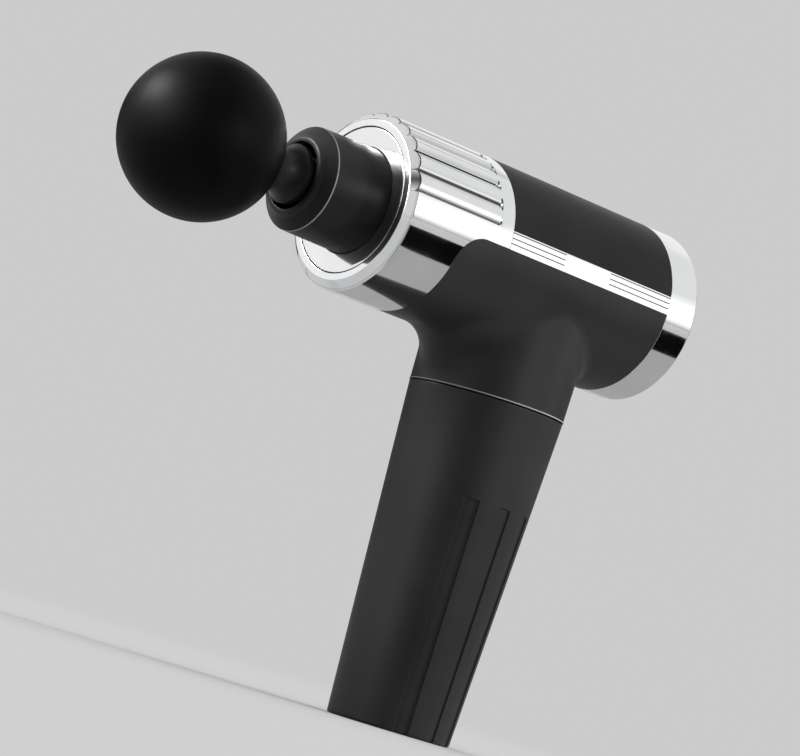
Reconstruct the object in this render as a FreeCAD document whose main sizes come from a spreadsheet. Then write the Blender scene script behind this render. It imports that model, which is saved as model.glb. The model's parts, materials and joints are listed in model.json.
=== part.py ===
import FreeCAD, Part
import math
import os
import re
import Sketcher
from FreeCAD import Placement, Rotation, Vector

# Percussion massage gun, millimetres.
# +Z is up through the handle, +X points to the rear cap and -X to the ball head.
# The handle's base lies on z = 0 and its axis is x = y = 0; the barrel's axis is at z = axis_height.

SIZES = {
    # barrel and its shells
    "axis_height": 151.5, "barrel_r": 28.5, "barrel_inner_r": 26.2,
    "nose_front": -75.1, "nose_bevel_x": -72.8, "nose_bevel_r": 25.9, "nose_lip_r": 23.6,
    "nose_lip_back": -72.1, "nose_split": -51.4, "nose_corner_r": 9.5,
    "cover_front": -32.8, "cover_rear": 37.7, "strip_height": 5.8,
    "strip_line_width": 0.32, "strip_line_depth": 0.25, "strip_pitch": 1.7,
    "plaque_front": -9.7, "plaque_rear": 10.2, "through_y": 80.0,
    # ribs of the nose ring
    "rib_count": 11, "rib_first_angle": 11.5, "rib_back": -38.5, "rib_r": 6.0,
    "rib_floor_r": 27.0, "rib_window_r": 32.0,
    # neck and handle
    "neck_bottom": 108.8, "neck_bottom_r": 25.3, "neck_top": 140.0, "neck_top_r": 25.9,
    "neck_inner_r": 22.8, "neck_blend_front": 13.5, "neck_blend_rear": 4.0,
    "seam_bottom": 108.0, "seam_r": 25.42, "seam_inner_r": 21.4,
    "handle_top": 107.8, "handle_top_r": 25.25, "handle_base_r": 20.0,
    "handle_lip_r": 21.6, "handle_lip_bottom": 101.0, "handle_inner_top": 99.6,
    "handle_inner_top_r": 22.95, "handle_inner_base": 3.0, "handle_inner_base_r": 18.25,
    "base_hole_r": 18.1, "flute_top": 76.0, "flute_width": 4.7, "flute_depth": 0.6,
    "flute_angle": 29.0,
    # face, sleeve and guide bushes
    "face_front": -74.9, "face_dish_x": -74.2, "face_r": 23.25, "face_flat_r": 22.4,
    "face_hole_r": 17.25, "face_back": -70.6,
    "sleeve_front": -97.8, "sleeve_edge": -95.3, "sleeve_edge_r": 16.6, "sleeve_r": 17.0,
    "sleeve_back": -68.6, "sleeve_flange_r": 24.0, "sleeve_bore_r": 12.0, "cap_seat": -96.6,
    "cap_r": 13.4, "cap_hole_r": 10.7, "cap_front": -99.1,
    "cap_round_r": 12.0, "wiper_front": -86.5, "wiper_back": -84.2, "wiper_hole_r": 7.35,
    "bush_front": -84.0, "bush_back": -69.0, "bush_hole_r": 7.04,
    "bracket_front": -50.0, "bracket_back": -46.0, "rear_bush_r": 10.0, "rear_bush_back": -36.0,
    # plunger, crank and motor
    "stroke_radius": 6.0, "plunger_front": -99.0, "rod_r": 7.0, "rod_end": -16.0,
    "rod_chamfer": 0.6, "socket_r": 5.0, "socket_end": -81.0,
    "yoke_front": -18.0, "yoke_length": 24.0, "yoke_half_width": 15.5, "yoke_width": 31.0,
    "yoke_bottom": 146.5, "yoke_height": 10.0, "slot_front": -12.4, "slot_length": 12.8,
    "slot_half_width": 12.4, "slot_width": 24.8,
    "disc_bottom": 139.0, "disc_top": 143.0, "disc_r": 14.0, "weight_height": 1.0,
    "pin_r": 2.0, "pin_collar_r": 3.0, "collar_top": 146.5, "pin_neck_top": 156.6,
    "pin_top": 157.4, "roller_r": 5.0, "roller_bottom": 146.8,
    "roller_top": 156.3, "roller_hole_r": 2.04, "shaft_r": 2.5, "shaft_bottom": 112.9,
    "can_bottom": 112.5, "can_top": 135.0, "can_r": 17.5, "can_inner_r": 16.3,
    "can_floor": 113.9, "bearing_r": 4.0, "bearing_hole_r": 2.54, "bearing_top": 116.0,
    "stator_bottom": 117.0, "stator_top": 132.0, "stator_inner_r": 10.6,
    "rotor_bottom": 117.5, "rotor_top": 131.5, "rotor_r": 10.0, "tooth_gap": 1.6,
    "tooth_reach": 4.4,
    "mount_top": 137.6, "mount_length": 64.0, "mount_width": 39.4, "mount_thickness": 2.6,
    "post_r": 3.0, "post_x": 28.0, "post_y": 12.0, "screw_r": 1.2, "screw_hole_r": 1.25,
    "screw_head_r": 2.2, "screw_head_height": 1.5, "screw_length": 7.0, "screw_slot": 0.7,
    # rear cap, display and buttons
    "ring_chamfer_x": 49.4, "ring_chamfer_r": 27.9, "ring_rear": 50.0, "ring_hole_r": 25.2,
    "panel_front": 45.4, "ring_lip_r": 24.0, "ring_lip_front": 33.0, "panel_rear": 48.6,
    "lens_front": 47.4, "lens_rear": 49.0, "lens_r": 10.5, "lens_up": 6.0, "panel_post_r": 2.0,
    "panel_post_y": 18.5, "panel_post_up": 4.0, "display_front": 41.0, "display_rear": 42.6,
    "display_r": 23.9, "switch_height": 0.9, "switch_size": 4.0,
    "button_rear": 49.3, "button_flange_front": 44.2, "button_flange_rear": 45.1,
    "power_r": 4.5, "power_up": -14.0, "speed_r": 3.6, "speed_y": 12.5, "speed_up": -9.0,
    "button_gap": 0.3, "flange_reach": 0.9, "mark_depth": 0.3, "mark_length": 3.6,
    "mark_width": 0.8, "mark_half_long": 1.8, "mark_half_thin": 0.4,
    # control board
    "board_bottom": 166.0, "board_thickness": 1.6, "board_front": -20.0, "board_length": 50.0,
    "board_width": 34.0, "board_post_r": 2.4, "board_post_front": -15.5,
    "board_post_rear": 25.5, "board_post_y": 13.2, "board_screw_length": 4.0,
    # neck plug and battery handle's contents
    "plug_bottom": 102.0, "plug_r": 21.3, "plug_top": 111.0, "plug_cup_r": 19.5,
    "plug_cup_floor": 104.0, "contact_bottom": 101.35, "contact_r": 1.1, "contact_pitch": 6.0,
    "plate_bottom": 99.7, "plate_top": 101.1, "plate_r": 21.0,
    "cell_r": 9.15, "cell_ring_r": 10.65, "cell_bottom": 33.0, "cell_length": 65.0,
    "cell_nub_r": 2.8, "cell_nub_height": 1.0, "holder_r": 19.4, "holder_thickness": 2.0,
    "holder_top_r": 22.4,
    "base_thickness": 3.2, "base_r": 18.0, "base_rim_top": 7.0, "base_rim_inner_r": 15.9,
    "charger_bottom": 24.0, "charger_r": 17.0, "jack_x": 9.0, "jack_r": 4.4, "jack_hole_r": 2.85,
    "jack_bottom": 0.4, "jack_depth": 9.0, "jack_top": 12.0, "jack_pin_r": 1.0,
    "jack_pin_bottom": 2.0, "rocker_x": -8.2, "rocker_width": 8.0,
    "rocker_pivot_z": 4.2, "rocker_half": 5.0, "rocker_tip": 2.6, "rocker_dip": 1.9,
    "rocker_rise": 2.6, "bezel_length": 13.4, "bezel_width": 11.4, "bezel_half_length": 6.7,
    "bezel_half_width": 5.7, "bezel_bottom": 0.4, "bezel_wall": 1.2, "bezel_top": 9.0,
    "pivot_r": 0.8, "pivot_hole_r": 0.85, "base_screw_x": 2.2, "base_screw_y": 13.4,
    "base_screw_length": 5.0, "base_screw_recess": 0.6,
    # ball head
    "ball_centre": -135.2, "ball_r": 25.2, "stem_flange_front": -100.7, "stem_flange_r": 9.4,
    "stem_flange_back": -99.2, "shank_r": 4.95, "shank_end": -83.0, "shank_chamfer": 0.8,
    "groove_front": -92.0, "groove_back": -90.2, "groove_r": 4.1, "stem_waist_x": -101.3,
    "stem_ball_x": -112.2, "stem_ball_r": 9.9, "stem_waist_arc": 7.6, "stem_core_end": -128.0,
    "stem_core_r": 7.0, "stem_core_front": -117.0, "o_ring_r": 4.53, "o_ring_wire_r": 0.43,
    "o_ring_x": -91.1,
}

doc = FreeCAD.newDocument("massage_gun")
sheet = doc.addObject("Spreadsheet::Sheet", "Sizes")
NODES = []


def fill_sheet():
    for row, (name, value) in enumerate(SIZES.items(), start=1):
        sheet.set("A%d" % row, name)
        sheet.set("B%d" % row, str(value))
        sheet.setAlias("B%d" % row, name)
    doc.recompute()


def amount(expr):
    """Value of a sum such as "panel_rear - button_gap" or "2.5"."""
    total = 0.0
    sign = 1.0
    for word in str(expr).split():
        if word in ("+", "-"):
            sign = 1.0 if word == "+" else -1.0
        else:
            total += sign * float(SIZES.get(word, word))
            sign = 1.0
    return total


def linked(expr):
    """The same sum written for FreeCAD's expression engine."""
    return re.sub(r"[a-z][a-z_]*", lambda word: "Sizes." + word.group(0), str(expr))


def bind(obj, prop, expr):
    obj.setExpression(prop, linked(expr))


def place(obj, x=0, y=0, z=0):
    """Binds an object's position to sheet sizes."""
    for axis, expr in (("x", x), ("y", y), ("z", z)):
        if expr != 0:
            bind(obj, "Placement.Base." + axis, expr)
    return obj


def node(obj, name):
    obj.Label = name
    NODES.append(obj)
    return obj


# ---------------------------------------------------------------- sketches and bodies

def new_body(name):
    return doc.addObject("PartDesign::Body", name + "_body")


def new_sketch(body, plane):
    sketch = body.newObject("Sketcher::SketchObject", "sketch")
    origin = [feature for feature in body.Origin.OriginFeatures if feature.Role == plane][0]
    sketch.AttachmentSupport = (origin, "")
    sketch.MapMode = "FlatFace"
    return sketch


def arc_between(start, end, radius):
    """Circular arc from start to end; a positive radius bulges to the left of the way."""
    middle = (start + end) * 0.5
    way = end - start
    left = Vector(-way.y, way.x, 0).normalize()
    side = 1.0 if radius > 0 else -1.0
    rise = abs(radius) - math.sqrt(radius * radius - way.Length * way.Length / 4)
    return Part.Arc(start, middle + left * (side * rise), end)


def add_side(sketch, start, end, radius):
    """Adds one line or arc; returns its number and which of its ends is the start."""
    if radius is None:
        return sketch.addGeometry(Part.LineSegment(start, end), False), 1
    number = sketch.addGeometry(arc_between(start, end, amount(radius)), False)
    first = 1 if (sketch.getPoint(number, 1) - start).Length < 1e-6 else 2
    return number, first


def fix_corner(sketch, number, end, across, up):
    """Fixes one corner of a sketch at sheet sizes from the origin."""
    for kind, axis, expr in (("DistanceX", -2, across), ("DistanceY", -1, up)):
        if expr == 0:
            sketch.addConstraint(Sketcher.Constraint("PointOnObject", number, end, axis))
            continue
        made = Sketcher.Constraint(kind, -1, 1, number, end, amount(expr))
        place_in_list = sketch.addConstraint(made)
        sketch.setExpression("Constraints[%d]" % place_in_list, linked(expr))


def draw_profile(sketch, points):
    """Closed outline through (across, up) or (across, up, radius of the arc to the next)."""
    corners = [Vector(amount(point[0]), amount(point[1]), 0) for point in points]
    sides = []
    for index, point in enumerate(points):
        radius = point[2] if len(point) == 3 else None
        end = corners[(index + 1) % len(points)]
        sides.append(add_side(sketch, corners[index], end, radius))
    for index, point in enumerate(points):
        number, first = sides[index]
        after, after_first = sides[(index + 1) % len(points)]
        sketch.addConstraint(
            Sketcher.Constraint("Coincident", number, 3 - first, after, after_first))
        fix_corner(sketch, number, first, point[0], point[1])
        if len(point) == 3:
            made = Sketcher.Constraint("Radius", number, abs(amount(point[2])))
            place_in_list = sketch.addConstraint(made)
            size = linked(point[2].replace("- ", ""))
            sketch.setExpression("Constraints[%d]" % place_in_list, size)


def turned(name, points, axis="X"):
    """Body turned about the barrel's axis (along, radius) or the handle's (radius, up)."""
    body = new_body(name)
    sketch = new_sketch(body, "XZ_Plane")
    draw_profile(sketch, points)
    feature = body.newObject("PartDesign::Revolution", "turn")
    feature.Profile = sketch
    feature.ReferenceAxis = (sketch, ["H_Axis" if axis == "X" else "V_Axis"])
    feature.Angle = 360
    body.Tip = feature
    if axis == "X":
        place(body, z="axis_height")
    return body


def washer(low, high, outer, inner):
    """Outline of a plain ring or tube along the barrel."""
    return [(low, inner), (low, outer), (high, outer), (high, inner)]


def upright_washer(low, high, outer, inner):
    """Outline of a plain ring or tube along the handle."""
    return [(inner, low), (outer, low), (outer, high), (inner, high)]


# ---------------------------------------------------------------- solids and booleans

def cylinder(r, height, x=0, y=0, z=0, axis="Z"):
    """Cylinder from (x, y, z) along +X, +Y or +Z, all sizes from the sheet."""
    made = doc.addObject("Part::Cylinder", "cylinder")
    bind(made, "Radius", r)
    bind(made, "Height", height)
    turns = {"X": Rotation(Vector(0, 1, 0), 90), "Y": Rotation(Vector(1, 0, 0), -90),
             "Z": Rotation()}
    made.Placement = Placement(Vector(), turns[axis])
    return place(made, x, y, z)


def box(length, width, height, x=0, y=0, z=0):
    """Box whose low corner is at (x, y, z), all sizes from the sheet."""
    made = doc.addObject("Part::Box", "box")
    bind(made, "Length", length)
    bind(made, "Width", width)
    bind(made, "Height", height)
    return place(made, x, y, z)


def fuse(parts):
    made = doc.addObject("Part::MultiFuse", "fuse")
    made.Shapes = parts
    return made


def cut(base, tools):
    made = doc.addObject("Part::Cut", "cut")
    made.Base = base
    made.Tool = tools[0] if len(tools) == 1 else fuse(tools)
    return made


def common(first, second):
    made = doc.addObject("Part::Common", "common")
    made.Base = first
    made.Tool = second
    return made


def group(parts):
    made = doc.addObject("Part::Compound", "group")
    made.Links = parts
    return made


def prism(name, points):
    """Outline in the barrel's side view, pushed through its whole width."""
    body = new_body(name)
    sketch = new_sketch(body, "XZ_Plane")
    draw_profile(sketch, points)
    feature = body.newObject("PartDesign::Pad", "pad")
    feature.Profile = sketch
    feature.Midplane = True
    bind(feature, "Length", "through_y")
    body.Tip = feature
    return place(body, z="axis_height")


# ---------------------------------------------------------------- barrel shells

def lower_region():
    """What lies below the mid-plane behind the nose ring's rounded corner."""
    return prism("lower_region", [
        ("nose_split", "- 45"), ("nose_split", "- nose_corner_r", "nose_corner_r"),
        ("nose_split + nose_corner_r", 0), ("cover_rear", 0), ("cover_rear", "- 45")])


def rib_window():
    """Space between the ribs: a sector ring less the round ribs themselves."""
    ring = doc.addObject("Part::Feature", "rib_window")
    first = math.radians(sheet.get("rib_first_angle"))
    reach = sheet.get("rib_window_r")
    height = sheet.get("axis_height")
    back = sheet.get("rib_back")
    front = sheet.get("nose_front") - 2
    pitch = (math.pi - 2 * first) / sheet.get("rib_count")
    edges = [Vector(front, reach * math.cos(first), reach * math.sin(first) + height),
             Vector(front, 0, reach + height),
             Vector(front, -reach * math.cos(first), reach * math.sin(first) + height)]
    arc = Part.Arc(*edges).toShape()
    centre = Vector(front, 0, height)
    sector = Part.Face(Part.Wire([Part.makeLine(centre, edges[0]), arc,
                                  Part.makeLine(edges[2], centre)]))
    solid = sector.extrude(Vector(back - front, 0, 0))
    length = back - front + 4
    along = Vector(1, 0, 0)
    core = Part.makeCylinder(sheet.get("rib_floor_r"), length, centre - along * 2, along)
    rib_r = sheet.get("rib_r")
    lift = sheet.get("barrel_r") - rib_r
    ribs = []
    for number in range(int(sheet.get("rib_count"))):
        angle = first + pitch * (number + 0.5)
        at = Vector(front - 2, lift * math.cos(angle), lift * math.sin(angle) + height)
        ribs.append(Part.makeCylinder(rib_r, length, at, along))
    ring.Shape = solid.cut([core] + ribs)
    return ring


def build_nose_ring():
    ring = turned("nose_ring", [
        ("nose_bevel_x", "barrel_r"), ("cover_front", "barrel_r"),
        ("cover_front", "barrel_inner_r"), ("nose_lip_back", "barrel_inner_r"),
        ("nose_lip_back", "nose_lip_r"), ("nose_front", "nose_lip_r"),
        ("nose_front", "nose_bevel_r")])
    node(cut(ring, [lower_region(), rib_window()]), "nose_ring")


def shell_tube(name):
    return turned(name, washer("cover_front", "cover_rear", "barrel_r", "barrel_inner_r"))


def upper_region(low):
    return prism("upper_region", [
        ("cover_front", low), ("cover_front", "45"), ("cover_rear", "45"), ("cover_rear", low)])


def build_upper_cover():
    posts = [cylinder("board_post_r", "10", x, y, "board_bottom + board_thickness")
             for x in ("board_post_front", "board_post_rear")
             for y in ("board_post_y", "- board_post_y")]
    outer = turned("cover_outer", [
        ("cover_front", 0), ("cover_front", "barrel_r"), ("cover_rear", "barrel_r"),
        ("cover_rear", 0)])
    body = common(fuse([shell_tube("cover_tube")] + posts), outer)
    shell = common(body, upper_region("strip_height"))
    node(cut(shell, board_screw_holes("screw_hole_r")), "upper_cover")


def board_screw_holes(r):
    return [cylinder(r, "board_screw_length + board_thickness", x, y, "board_bottom")
            for x in ("board_post_front", "board_post_rear")
            for y in ("board_post_y", "- board_post_y")]


def strip_groove_tool():
    """Skin of the barrel where the strips' fine grooves are cut."""
    skin = turned("strip_skin", washer(
        "cover_front", "cover_rear", "barrel_r + 1", "barrel_r - strip_line_depth"))
    bands = []
    for number in (1, 2, 3):
        up = "axis_height" + " + strip_pitch" * number
        bands.append(box("plaque_front - cover_front", "through_y", "strip_line_width",
                         "cover_front", "- 40", up))
        bands.append(box("cover_rear - plaque_rear", "through_y", "strip_line_width",
                         "plaque_rear", "- 40", up))
    return common(skin, fuse(bands))


def build_side_strips():
    region = prism("strip_region", [
        ("cover_front", 0), ("cover_front", "strip_height"), ("cover_rear", "strip_height"),
        ("cover_rear", 0)])
    both = cut(common(shell_tube("strip_tube"), region), [strip_groove_tool()])
    for name, low in (("side_strip_left", "- 40"), ("side_strip_right", 0)):
        half = box("150", "40", "80", "- 75", low, "axis_height - 40")
        node(common(both, half), name)


def barrel_and_neck():
    """Outside of the barrel's lower half with the neck blended into it."""
    made = doc.addObject("Part::Feature", "barrel_and_neck")
    height = sheet.get("axis_height")
    bottom = sheet.get("neck_bottom")
    half = Part.makeBox(300, 100, 300, Vector(-150, -100, 0))
    barrel = Part.makeCylinder(sheet.get("barrel_r"), 110, Vector(-65, 0, height),
                               Vector(1, 0, 0))
    neck = Part.makeCone(sheet.get("neck_bottom_r"), sheet.get("neck_top_r"),
                         sheet.get("neck_top") - bottom, Vector(0, 0, bottom))
    side = barrel.common(half).fuse(neck.common(half)).removeSplitter().Solids[0]
    joint = [edge for edge in side.Edges
             if edge.BoundBox.ZMax > bottom + 25 and edge.BoundBox.XMax < 30
             and edge.BoundBox.XMin > -30][0]
    front = sheet.get("neck_blend_front")
    rear = sheet.get("neck_blend_rear")
    starts_behind = joint.valueAt(joint.FirstParameter).x > 0
    radii = (rear, front) if starts_behind else (front, rear)
    side = side.makeFillet(radii[0], radii[1], [joint])
    made.Shape = side.fuse(side.mirror(Vector(), Vector(0, 1, 0))).removeSplitter()
    return made


def mount_posts(r, low, height):
    return [cylinder(r, height, x, y, low)
            for x in ("post_x", "- post_x") for y in ("post_y", "- post_y")]


def build_lower_shell():
    outer = barrel_and_neck()
    hollow_barrel = cylinder("barrel_inner_r", "120", "- 70", 0, "axis_height", "X")
    hollow_neck = cylinder("neck_inner_r", "40", 0, 0, "neck_bottom - 5")
    shell = cut(outer, [hollow_barrel, hollow_neck])
    posts = common(fuse(mount_posts("post_r", "can_top - 12", "12")), outer)
    region = common(fuse([shell, posts]), lower_region())
    holes = mount_posts("screw_hole_r", "can_top - screw_length", "screw_length + 1")
    node(cut(region, holes), "lower_shell")


# ---------------------------------------------------------------- face and sleeve

def build_front():
    node(turned("face_plate", [
        ("face_front", "face_flat_r"), ("face_front", "face_r"),
        ("nose_lip_back", "face_r"), ("nose_lip_back", "barrel_inner_r"),
        ("face_back", "barrel_inner_r"), ("face_back", "face_hole_r"),
        ("face_dish_x", "face_hole_r")]), "face_plate")
    node(turned("sleeve", [
        ("sleeve_front", "cap_r"), ("sleeve_edge", "sleeve_edge_r"), ("face_back", "sleeve_r"),
        ("face_back", "sleeve_flange_r"), ("sleeve_back", "sleeve_flange_r"),
        ("sleeve_back", "sleeve_bore_r"), ("cap_seat", "sleeve_bore_r"),
        ("cap_seat", "cap_r")]), "barrel_sleeve")
    node(turned("sleeve_cap", [
        ("cap_seat", "cap_hole_r"), ("cap_front", "cap_hole_r"), ("cap_front", "cap_round_r"),
        ("sleeve_front", "cap_r"), ("cap_seat", "cap_r")]), "sleeve_cap")
    node(turned("wiper", washer(
        "wiper_front", "wiper_back", "sleeve_bore_r", "wiper_hole_r")), "wiper_seal")
    node(turned("front_bush", washer(
        "bush_front", "bush_back", "sleeve_bore_r", "bush_hole_r")), "front_bush")
    node(turned("rear_bush", washer(
        "bracket_front", "rear_bush_back", "rear_bush_r", "bush_hole_r")), "rear_bush")
    node(turned("bracket", washer(
        "bracket_front", "bracket_back", "barrel_inner_r", "rear_bush_r")), "bush_bracket")


# ---------------------------------------------------------------- drive

def build_plunger():
    rod = turned("rod", [
        ("plunger_front", "rod_r - rod_chamfer"), ("plunger_front + rod_chamfer", "rod_r"),
        ("rod_end", "rod_r"), ("rod_end", 0), ("socket_end", 0), ("socket_end", "socket_r"),
        ("plunger_front", "socket_r")])
    yoke = box("yoke_length", "yoke_width", "yoke_height",
               "yoke_front", "- yoke_half_width", "yoke_bottom")
    slot = box("slot_length", "slot_width", "yoke_height + 2",
               "slot_front", "- slot_half_width", "yoke_bottom - 1")
    node(cut(fuse([rod, yoke]), [slot]), "plunger")


def build_crank():
    plate = turned("disc", upright_washer("disc_bottom", "disc_top", "disc_r", "shaft_r"), "Z")
    weight = turned("weight", [
        ("disc_r - 8", "disc_top - 1"), ("disc_r", "disc_top - 1"),
        ("disc_r", "disc_top + weight_height"), ("disc_r - 8", "disc_top + weight_height")], "Z")
    rear_half = box("30", "40", "20", "2", "- 20", "disc_bottom")
    hole = cylinder("pin_r", "10", "- stroke_radius", 0, "disc_bottom - 1")
    node(cut(fuse([plate, common(weight, rear_half)]), [hole]), "crank_disc")
    pin = turned("pin", [
        (0, "disc_bottom"), ("pin_r", "disc_bottom"), ("pin_r", "disc_top"),
        ("pin_collar_r", "disc_top"), ("pin_collar_r", "collar_top"), ("pin_r", "collar_top"),
        ("pin_r", "pin_neck_top"), ("pin_collar_r", "pin_neck_top"), ("pin_collar_r", "pin_top"),
        (0, "pin_top")], "Z")
    node(place(pin, x="- stroke_radius"), "crank_pin")
    roller = turned("roller", upright_washer(
        "roller_bottom", "roller_top", "roller_r", "roller_hole_r"), "Z")
    node(place(roller, x="- stroke_radius"), "crank_roller")


def slotted_stator():
    """Stator ring with slots between its teeth."""
    ring = turned("stator", upright_washer(
        "stator_bottom", "stator_top", "can_inner_r", "stator_inner_r"), "Z")
    slots = []
    for number in range(9):
        slot = box("tooth_reach", "tooth_gap", "stator_top - stator_bottom + 2")
        angle = math.radians(40 * number)
        inner = sheet.get("stator_inner_r") - 0.5
        half = sheet.get("tooth_gap") / 2
        at = Vector(inner * math.cos(angle) + half * math.sin(angle),
                    inner * math.sin(angle) - half * math.cos(angle),
                    sheet.get("stator_bottom") - 1)
        slot.Placement = Placement(at, Rotation(Vector(0, 0, 1), 40 * number))
        slots.append(slot)
    return cut(ring, slots)


def build_motor():
    node(turned("can", [
        ("bearing_r", "can_bottom"), ("can_r", "can_bottom"), ("can_r", "can_top"),
        ("can_inner_r", "can_top"), ("can_inner_r", "can_floor"),
        ("bearing_r", "can_floor")], "Z"), "motor_can")
    node(slotted_stator(), "motor_stator")
    node(turned("rotor", upright_washer(
        "rotor_bottom", "rotor_top", "rotor_r", "shaft_r"), "Z"), "motor_rotor")
    node(cylinder("shaft_r", "disc_top - shaft_bottom", 0, 0, "shaft_bottom"), "motor_shaft")
    lower = turned("lower_bearing", upright_washer(
        "can_bottom", "bearing_top", "bearing_r", "bearing_hole_r"), "Z")
    upper = turned("upper_bearing", upright_washer(
        "can_top", "mount_top", "bearing_r", "bearing_hole_r"), "Z")
    node(group([lower, upper]), "motor_bearings")
    plate = box("mount_length", "mount_width", "mount_thickness",
                "- 32", "- 19.7", "can_top")
    holes = mount_posts("screw_hole_r", "can_top - 1", "5")
    seat = cylinder("bearing_r", "5", 0, 0, "can_top - 1")
    inside = cylinder("barrel_inner_r", "80", "- 40", 0, "axis_height", "X")
    node(common(cut(plate, holes + [seat]), inside), "motor_mount")
    node(group(slotted_screws(
        [(x, y) for x in ("post_x", "- post_x") for y in ("post_y", "- post_y")],
        "mount_top", "screw_length + mount_thickness", 1)), "mount_screws")


def slotted_screws(spots, seat, length, way):
    """Small slotted screws, heads above (way 1) or below (way -1) the seat."""
    screws = []
    for x, y in spots:
        if way > 0:
            shank = cylinder("screw_r", length, x, y, seat + " - " + length.replace(" + ", " - "))
            head = cylinder("screw_head_r", "screw_head_height", x, y, seat)
            groove = box("6", "screw_slot", "2", str(x) + " - 3", str(y) + " - 0.35",
                         seat + " + screw_head_height - 0.7")
        else:
            shank = cylinder("screw_r", length, x, y, seat)
            head = cylinder("screw_head_r", "screw_head_height", x, y,
                            seat + " - screw_head_height")
            groove = box("6", "screw_slot", "2", str(x) + " - 3", str(y) + " - 0.35",
                         seat + " - screw_head_height - 1.3")
        screws.append(cut(fuse([shank, head]), [groove]))
    return screws


# ---------------------------------------------------------------- rear cap and boards

def build_rear():
    node(turned("rear_ring", [
        ("cover_rear", "barrel_r"), ("ring_chamfer_x", "barrel_r"),
        ("ring_rear", "ring_chamfer_r"), ("ring_rear", "ring_hole_r"),
        ("panel_front", "ring_hole_r"), ("panel_front", "ring_lip_r"),
        ("ring_lip_front", "ring_lip_r"), ("ring_lip_front", "barrel_inner_r"),
        ("cover_rear", "barrel_inner_r")]), "rear_ring")
    panel = turned("panel", [
        ("panel_front", 0), ("panel_front", "ring_hole_r"), ("panel_rear", "ring_hole_r"),
        ("panel_rear", 0)])
    posts = [cylinder("panel_post_r", "panel_front - display_rear + 1", "display_rear",
                      y, "axis_height + panel_post_up", "X")
             for y in ("panel_post_y", "- panel_post_y")]
    holes = [cylinder("lens_r", "5", "lens_front", 0, "axis_height + lens_up", "X")]
    for r, y, up in button_spots():
        holes.append(cylinder(r + " + button_gap", "6", "panel_front - 1", y,
                              "axis_height + " + up, "X"))
    node(cut(fuse([panel] + posts), holes), "rear_panel")
    node(cylinder("lens_r", "lens_rear - lens_front", "lens_front", 0,
                  "axis_height + lens_up", "X"), "display_lens")
    node(turned("display_board", washer(
        "display_front", "display_rear", "display_r", "3")), "display_board")
    switches = [box("switch_height", "switch_size", "switch_size", "display_rear",
                    str(y) + " - 2", "axis_height + " + up + " - 2")
                for r, y, up in button_spots()]
    node(group(switches), "tact_switches")


def button_spots():
    return [("power_r", 0, "power_up"), ("speed_r", "speed_y", "speed_up"),
            ("speed_r", "- speed_y", "speed_up")]


def button(r, y, up):
    cap = cylinder(r, "button_rear - button_flange_rear + 0.2", "button_flange_rear - 0.2",
                   y, "axis_height + " + up, "X")
    flange = cylinder(r + " + flange_reach", "button_flange_rear - button_flange_front",
                      "button_flange_front", y, "axis_height + " + up, "X")
    return fuse([cap, flange])


def mark(y, up, length, height):
    """Sunk bar on a button's face."""
    return box("1", length, height, "button_rear - mark_depth",
               str(y) + " - " + "mark_half_" + ("long" if length == "mark_length" else "thin"),
               "axis_height + " + up + " - " + "mark_half_"
               + ("long" if height == "mark_length" else "thin"))


def build_buttons():
    (power, plus, minus) = button_spots()
    ring = turned("power_mark", washer("button_rear - mark_depth", "button_rear + 1", "2.2", "1.5"))
    place(ring, z="axis_height + power_up")
    node(cut(button(*power), [ring]), "power_button")
    node(cut(button(*plus), [mark(plus[1], plus[2], "mark_length", "mark_width"),
                             mark(plus[1], plus[2], "mark_width", "mark_length")]),
         "speed_up_button")
    node(cut(button(*minus), [mark(minus[1], minus[2], "mark_length", "mark_width")]),
         "speed_down_button")


def build_control_board():
    board = box("board_length", "board_width", "board_thickness",
                "board_front", "- 17", "board_bottom")
    node(cut(board, board_screw_holes("screw_hole_r")), "control_board")
    top = "board_bottom + board_thickness"
    chips = [box("7", "7", "1", "- 4", "- 3.5", top)]
    chips += [box("5", "6", "1.5", x, y, top) for x in ("- 13", "16") for y in ("- 9", "3")]
    chips.append(box("6", "14", "5", "7", "- 7", top))
    chips += [cylinder("3", "6", "25", y, top) for y in ("- 4", "4")]
    node(group(chips), "board_parts")
    node(group(slotted_screws(
        [(x, y) for x in ("board_post_front", "board_post_rear")
         for y in ("board_post_y", "- board_post_y")],
        "board_bottom", "board_screw_length + board_thickness", -1)), "board_screws")


# ---------------------------------------------------------------- neck and handle

def build_neck():
    node(turned("seam_ring", upright_washer(
        "seam_bottom", "neck_bottom", "seam_r", "seam_inner_r"), "Z"), "seam_ring")
    node(turned("neck_plug", [
        (0, "plug_bottom"), ("plug_r", "plug_bottom"), ("plug_r", "neck_bottom"),
        ("neck_inner_r", "neck_bottom"), ("neck_inner_r", "plug_top"),
        ("plug_cup_r", "plug_top"), ("plug_cup_r", "plug_cup_floor"),
        (0, "plug_cup_floor")], "Z"), "neck_plug")
    pins = [cylinder("contact_r", "plug_bottom - contact_bottom", x, 0, "contact_bottom")
            for x in ("contact_pitch", "- contact_pitch", 0)]
    node(group(pins), "contact_pins")


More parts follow.
